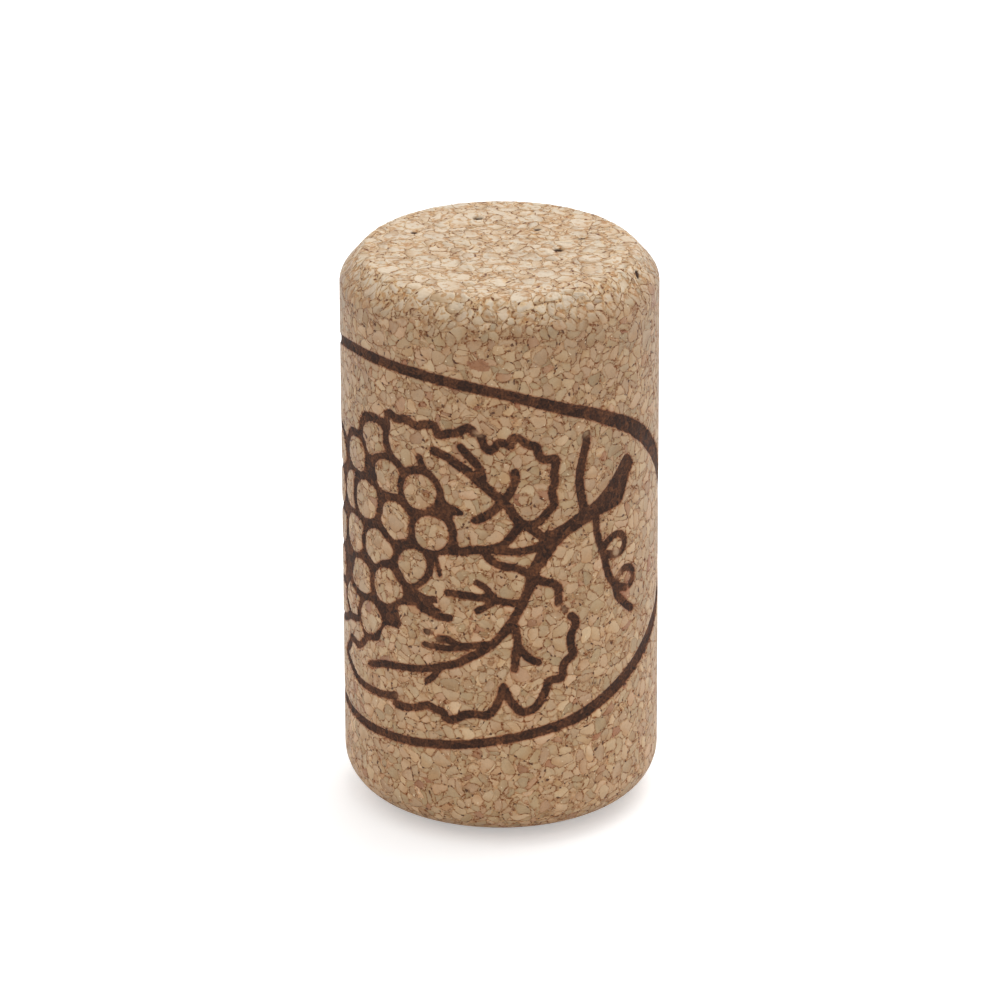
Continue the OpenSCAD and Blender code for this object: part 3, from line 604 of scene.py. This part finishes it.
# granule colours, then each a little darker or lighter, cloudy within
flesh = tones(kind, (0.00, tone(176, 147, 113)), (0.12, tone(170, 143, 108)), (0.22, tone(184, 154, 119)),
              (0.36, tone(182, 149, 116)), (0.50, tone(188, 159, 124)), (0.60, tone(188, 153, 121)),
              (0.70, tone(194, 166, 131)), (0.80, tone(180, 150, 115)), (0.90, tone(184, 152, 119)),
              (0.96, tone(178, 143, 110)), (1.00, tone(158, 112, 82)))
cloud = clouds(in_mm, 1.7, 3.0, 0.6).outputs["Fac"]
fibre = clouds(in_mm, 8.0, 2.0, 0.6).outputs["Fac"]
level = work("ADD", between(shade, 0.0, 1.0, between(end_share, 0.0, 1.0, 0.94, 0.86), between(end_share, 0.0, 1.0, 1.16, 1.12)), work("MULTIPLY", work("SUBTRACT", cloud, 0.5), 0.40))
level = work("ADD", level, work("MULTIPLY", work("SUBTRACT", fibre, 0.5), between(height_mm, 41.2, 43.8, 0.40, 0.24)))
# painted shade: every granule is darker towards the upper end of the wall, from 0.99 low down to 0.825 at 41 mm,
# standing in for how the light falls; the charred stamp floor takes it too
level = work("MULTIPLY", level, add("MapRange", {"Value": height_mm, 1: 3.0, 2: 41.0, 3: 0.99, 4: 0.825}).outputs[0])
flesh = lit(flesh, level)
# painted light: the bevel and upper end are painted paler, up to 0.78 of the way to a pale cream, standing in for the
# stronger light they catch from above
flesh = tint(between(height_mm, 41.2, 43.95, 0.0, 0.78), flesh, tone(216, 199, 175))

# seams: thin, uneven, orange-brown, in places hardly there and in places dark. They are partly the seams' own colour
# and partly painted shade in the crevices, darkest on the low side of each tipped granule, and on the ends drawn only
# there.
patchy = clouds(in_mm, 2.2, 2.0).outputs["Fac"]
low_side = between(tipped, -0.05, 0.05, 1.0, 0.0)
seam_wide = work("MULTIPLY", between(height_mm, 41.2, 43.8, 0.060, 0.076), between(low_side, 0.0, 1.0, 0.6, 1.0))
seam_share = work("DIVIDE", work("SUBTRACT", seam, -0.02), work("ADD", seam_wide, 0.02))
seam_and_shade_line = work("MULTIPLY", between(seam_share, 0.0, 1.0, 1.0, 0.0),
                 between(patchy, between(height_mm, 41.2, 43.8, 0.36, 0.46), 0.60, 0.12, 1.0))
seam_and_shade_line = work("MULTIPLY", seam_and_shade_line, between(low_side, 0.0, 1.0, between(height_mm, 41.2, 43.8, 0.35, 0.0), 1.0))
# painted shade: a warm orange darkening on the band beside each seam, wider and patchier on the ends, where the
# granules slope into the crevices
painted_seam_shade = between(seam, 0.0, between(end_share, 0.0, 1.0, 0.08, 0.12), between(end_share, 0.0, 1.0, 0.55, 0.80), 0.0)
painted_seam_shade = work("MULTIPLY", painted_seam_shade, between(cloud, 0.35, 0.60, between(end_share, 0.0, 1.0, 1.0, 0.60), 1.0))
skin = tint(painted_seam_shade, flesh, tint(end_share, tone(244, 218, 180), tone(252, 228, 188)), "MULTIPLY")
# painted shade: each granule is darker on the low side of its tipped face, fully on the ends and three quarters as
# much on the wall
painted_tilt_shade = work("MULTIPLY", between(tipped, -0.30, 0.10, 1.0, 0.0), between(end_share, 0.0, 1.0, 0.75, 1.0))
skin = tint(painted_tilt_shade, skin, tone(238, 220, 197), "MULTIPLY")
# painted shade along the seams, partly their own colour, darker and more orange on the ends
skin = tint(seam_and_shade_line, skin, tint(end_share, tone(162, 110, 62), tone(134, 78, 34)), "MULTIPLY")
crumb = add("TexVoronoi", {"Vector": bent, "Scale": 3.0}, feature="F1")
crumb_lots = add("SeparateColor", {0: crumb.outputs["Color"]}).outputs
near_seam = between(seam, 0.03, 0.10, 1.0, 0.0)
dark_crumb = work("MULTIPLY", near_seam, between(work(
    "SUBTRACT", crumb.outputs["Distance"], between(crumb_lots[0], 0.30, 1.0, 0.02, 0.36)), -0.05, 0.02, 1.0, 0.0))
bark = tint(end_share, tone(86, 52, 30), tone(112, 66, 30))
skin = tint(dark_crumb, skin, bark)
speck = add("TexVoronoi", {"Vector": bent, "Scale": 5.5}, feature="F1")
speck_lots = add("SeparateColor", {0: speck.outputs["Color"]}).outputs
dark_speck = work("MULTIPLY", between(seam, 0.02, 0.06, 1.0, 0.0), between(work(
    "SUBTRACT", speck.outputs["Distance"], between(speck_lots[0], 0.45, 1.0, 0.02, 0.36)), -0.08, 0.02, 1.0, 0.0))
skin = tint(dark_speck, skin, tone(104, 66, 38))
pale_crumb = work("MULTIPLY", work("LESS_THAN", crumb_lots[0], 0.22),
                  between(crumb.outputs["Distance"], 0.10, 0.20, 0.75, 0.0))
skin = tint(pale_crumb, skin, tone(222, 202, 168))

# on the ground ends the cork is torn into small lumps, and the hollows between them are painted darker as shade
lumps = clouds(in_mm, 2.2, 1.0, 0.5).outputs["Fac"]
lump_hollow_shade = work("MULTIPLY", between(lumps, 0.35, 0.45, 1.0, 0.0), end_share)
skin = tint(lump_hollow_shade, skin, tone(230, 206, 178), "MULTIPLY")
# painted shade: the holes left in the upper end are painted a near black brown
hollow_share = add("Attribute", attribute_name="hollow").outputs["Fac"]
skin = tint(between(hollow_share, 0.10, 0.60), skin, tone(56, 32, 17))

# one granule of inner bark, darker and redder, high on the wall in front
bark_place = add("VectorMath", {0: in_mm, 1: (1.55, 11.9, -39.35)}, operation="ADD").outputs[0]
bark_place = add("VectorMath", {0: bark_place, 1: (1.1, 1.0, 1.9)}, operation="MULTIPLY").outputs[0]
bark_reach = add("VectorMath", {0: bark_place}, operation="LENGTH").outputs["Value"]
bark_reach = work("ADD", bark_reach, work("MULTIPLY", work("SUBTRACT", patchy, 0.5), 1.2))
skin = tint(between(bark_reach, 0.85, 1.0, 0.85, 0.0), skin, tone(146, 98, 66))

# the stamp: charred brown floor, lighter along the seams, and a scorched rim
from_mark_mm = add("Attribute", attribute_name="from_mark").outputs["Fac"]
touch_share = add("Attribute", attribute_name="touch").outputs["Fac"]
fray = work("MULTIPLY", work("SUBTRACT", clouds(in_mm, 4.5, 2.0).outputs["Fac"], 0.5), 0.18)
fray = work("ADD", fray, work("MULTIPLY", work("SUBTRACT", shade, 0.5), 0.05))
edge = work("ADD", from_mark_mm, fray)
firm = between(work("ADD", touch_share, work("MULTIPLY", work("SUBTRACT", cloud, 0.5), 0.5)), 0.05, 0.85)
burnt = work("MULTIPLY", between(edge, -0.035, 0.045, 1.0, 0.0), firm)
scorched = work("MULTIPLY", between(edge, 0.0, 0.17, 0.75, 0.0), firm)
soot = clouds(in_mm, 5.0, 3.0, 0.6).outputs["Fac"]
char_pick = work("ADD", work("MULTIPLY", shade, 0.5), between(soot, 0.34, 0.66, 0.0, 0.5))
char = tones(char_pick, (0.0, tone(38, 22, 13)), (0.35, tone(60, 34, 20)), (0.7, tone(80, 47, 28)),
             (1.0, tone(109, 67, 40)))
char = lit(char, level)
char = tint(work("MULTIPLY", seam_and_shade_line, 0.6), char, tone(104, 66, 42))
char = tint(work("MULTIPLY", dark_crumb, 0.7), char, tone(28, 20, 18))
skin = tint(scorched, skin, tone(196, 130, 74), "MULTIPLY")
skin = tint(burnt, skin, char)

# granules stand up a little between their seams, most on the ground ends
relief = work("MULTIPLY", between(seam, -0.01, between(height_mm, 41.0, 43.8, 0.10, 0.17)),
              between(height_mm, 41.0, 43.8, 0.024, 0.036))
relief = work("ADD", relief, work("MULTIPLY", tipped, between(height_mm, 41.0, 43.0, 0.15, 0.80)))
relief = work("ADD", relief, work("MULTIPLY", lumps, between(height_mm, 41.4, 43.4, 0.0, 0.20)))
relief = work("SUBTRACT", relief, work("MULTIPLY", dark_crumb, 0.01))
bumps = add("Bump", {"Strength": 1.0, "Distance": 0.001, "Height": relief})
dull = work("MAXIMUM", work("MAXIMUM", burnt, seam_and_shade_line), hollow_share)
gloss = between(dull, 0.0, 1.0, 0.42, 0.85)
finish = add("BsdfPrincipled", {"Base Color": skin, "Roughness": gloss, "IOR": 1.38,
                                "Normal": bumps.outputs["Normal"]})
web.links.new(finish.outputs[0], add("OutputMaterial").inputs["Surface"])
body_mesh.materials.append(cork)

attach(body, "root")
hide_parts("stopper")
